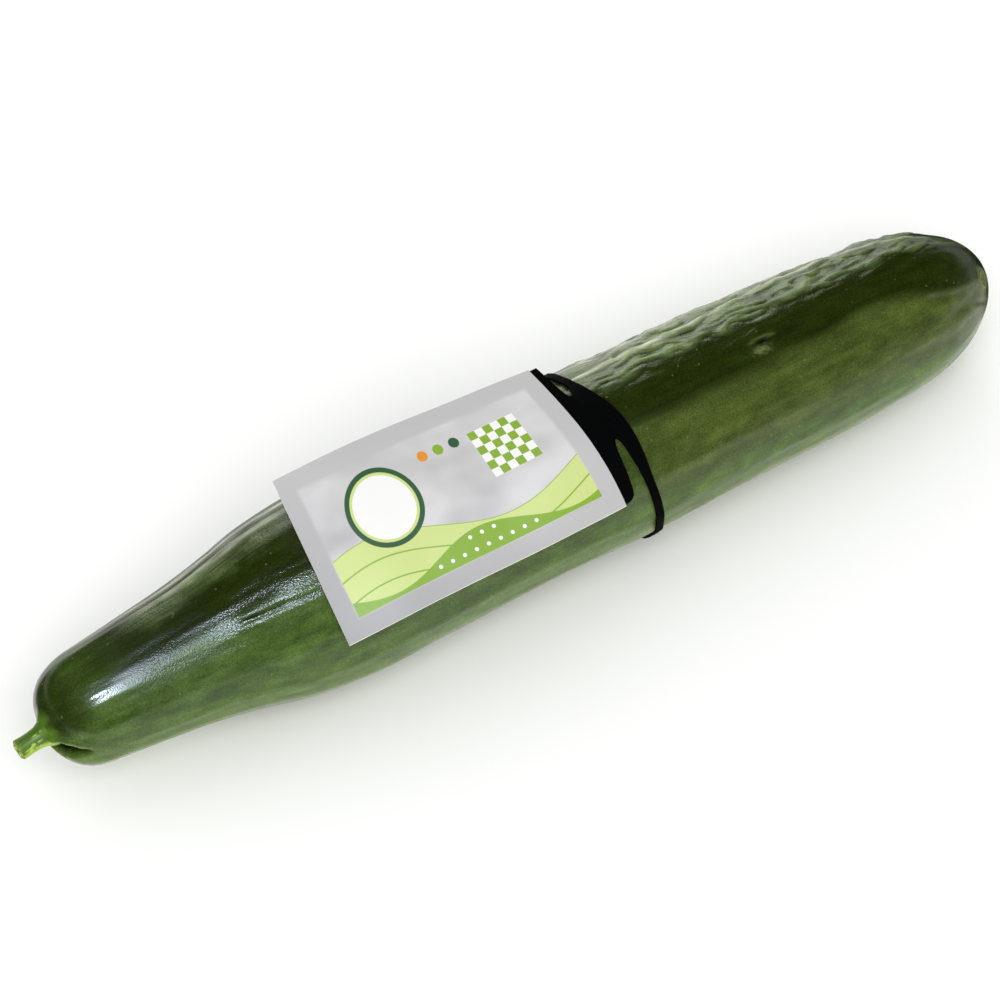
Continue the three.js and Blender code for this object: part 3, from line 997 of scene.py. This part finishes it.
def makeStem():
    bm = bmesh.new()
    base, tip = Vector(stem["base"]), Vector(stem["tip"])
    length = (tip - base).length
    side = [(smooth(stem["profile"], h), h) for h in spread(0, length - 0.35, stem["rise"])]
    edgeRadius = side[-1][0]
    side += [(edgeRadius - 0.12, length - 0.12), (edgeRadius - 0.35, length)]
    side += [(edgeRadius * share, length - 0.25 * sin(share * pi)) for share in (0.7, 0.55, 0.4, 0.25, 0.12)]
    profile = [bm.verts.new((r, 0, h)) for r, h in [(0, 0), *side, (0, length)]]
    edges = [bm.edges.new(pair) for pair in zip(profile, profile[1:])]
    bmesh.ops.spin(bm, geom=profile + edges, cent=(0, 0, 0), axis=(0, 0, 1), angle=2 * pi,
                   steps=stem["turns"], use_merge=True)
    bmesh.ops.remove_doubles(bm, verts=bm.verts, dist=0.0001)
    bmesh.ops.recalc_face_normals(bm, faces=bm.faces)
    for name in stem["layers"]:
        bm.verts.layers.float.new(name)
    layers = {name: bm.verts.layers.float[name] for name in stem["layers"]}
    turn = (tip - base).to_track_quat("Z", "Y").to_matrix().to_4x4()
    for vert in bm.verts:
        angle, r = atan2(vert.co.y, vert.co.x), hypot(vert.co.x, vert.co.y)
        wave = abs(cos(stem["ribs"] * angle / 2 + vert.co.z * 0.04)) ** 0.8
        strength = stem["ribDepth"] * smoothstep(vert.co.z, 0.5, 3.5)
        fine = 0.02 * noise.noise(Vector((angle * 9, 0, vert.co.z * 0.3)))
        scale = 1 + strength * (wave - 0.65) + fine
        vert[layers["cut"]] = smoothstep(vert.co.z, length - 0.4, length - 0.2)
        vert[layers["rib"]] = wave
        vert[layers["spoke"]] = wave**4 * smoothstep(r, 0.4, 1.1) * (1 - smoothstep(r, 2.0, 2.5))
        facing = turn.to_3x3() @ Vector((cos(angle), sin(angle), 0))
        # How far the stalk faces down and towards the front: painted light, lighter and yellower there
        vert[layers["under"]] = smoothstep(-facing.z - 0.6 * max(facing.y, 0), -0.75, 0.1)
        stripe = noise.noise(Vector((3 * cos(angle), 3 * sin(angle), 0.22 * vert.co.z + 4)))
        vert[layers["fibre"]] = smoothstep(stripe, 0.16, 0.46)
        vert.co = Vector((vert.co.x * scale, vert.co.y * scale, vert.co.z))
    bmesh.ops.transform(bm, matrix=Matrix.Translation(base) @ turn, verts=bm.verts)
    addPiece("stem_stub", bm, "stem", [makeStalk()])


# Stalk: juicy green ribs with darker grooves, partly painted highlight and shade; darker above and lighter,
# yellower below, as painted shade and painted light; and a cut with pale spokes
def makeStalk():
    material, tree, shader = newMaterial("ribbed green stalk")
    place = addNode(tree, "TexCoord").outputs["Object"]
    shares = {name: addNode(tree, "Attribute", attribute_name=name).outputs["Fac"] for name in stem["layers"]}
    raised = addNode(tree, "MapRange", {"Value": shares["rib"], "From Min": 0.45,
                                        "From Max": 0.95}).outputs[0]
    ribColour = addNode(tree, "Mix", {0: shares["under"], 6: linear(stem["ribShadedAbove"]),
                                      7: linear(stem["ribLitBelow"])}, data_type="RGBA").outputs[2]
    colour = addNode(tree, "Mix", {0: raised, 6: linear(stem["groove"]), 7: ribColour},
                     data_type="RGBA").outputs[2]
    flecks = addNode(tree, "TexNoise", {"Vector": place, "Scale": 900, "Detail": 3}).outputs["Fac"]
    patchy = addNode(tree, "MapRange", {"Value": flecks, "From Min": 0.4, "From Max": 0.6}).outputs[0]
    share = addNode(tree, "Math", {0: patchy, 1: shares["fibre"]}, operation="MULTIPLY").outputs[0]
    colour = addNode(tree, "Mix", {0: share, 6: colour, 7: linear(stem["fibreColour"])},
                     data_type="RGBA").outputs[2]
    for name, hexColour in (("cut", stem["flesh"]), ("spoke", stem["pith"])):
        share = addNode(tree, "Math", {0: shares[name], 1: shares["cut"]}, operation="MULTIPLY").outputs[0]
        colour = addNode(tree, "Mix", {0: share, 6: colour, 7: linear(hexColour)},
                         data_type="RGBA").outputs[2]
    tree.links.new(colour, shader.inputs["Base Color"])
    shader.inputs["Roughness"].default_value = 0.4
    shader.inputs["IOR"].default_value = 1.42
    return material


print("frame loaded, shift", tuple(round(v, 2) for v in shift))
makeCamera()
makeLights()
makeRoom()
makeFloor()
makeFlags()
print("camera, lights and floor ready")
makeFruit()
makeLabel()
makeBand()
makeStem()
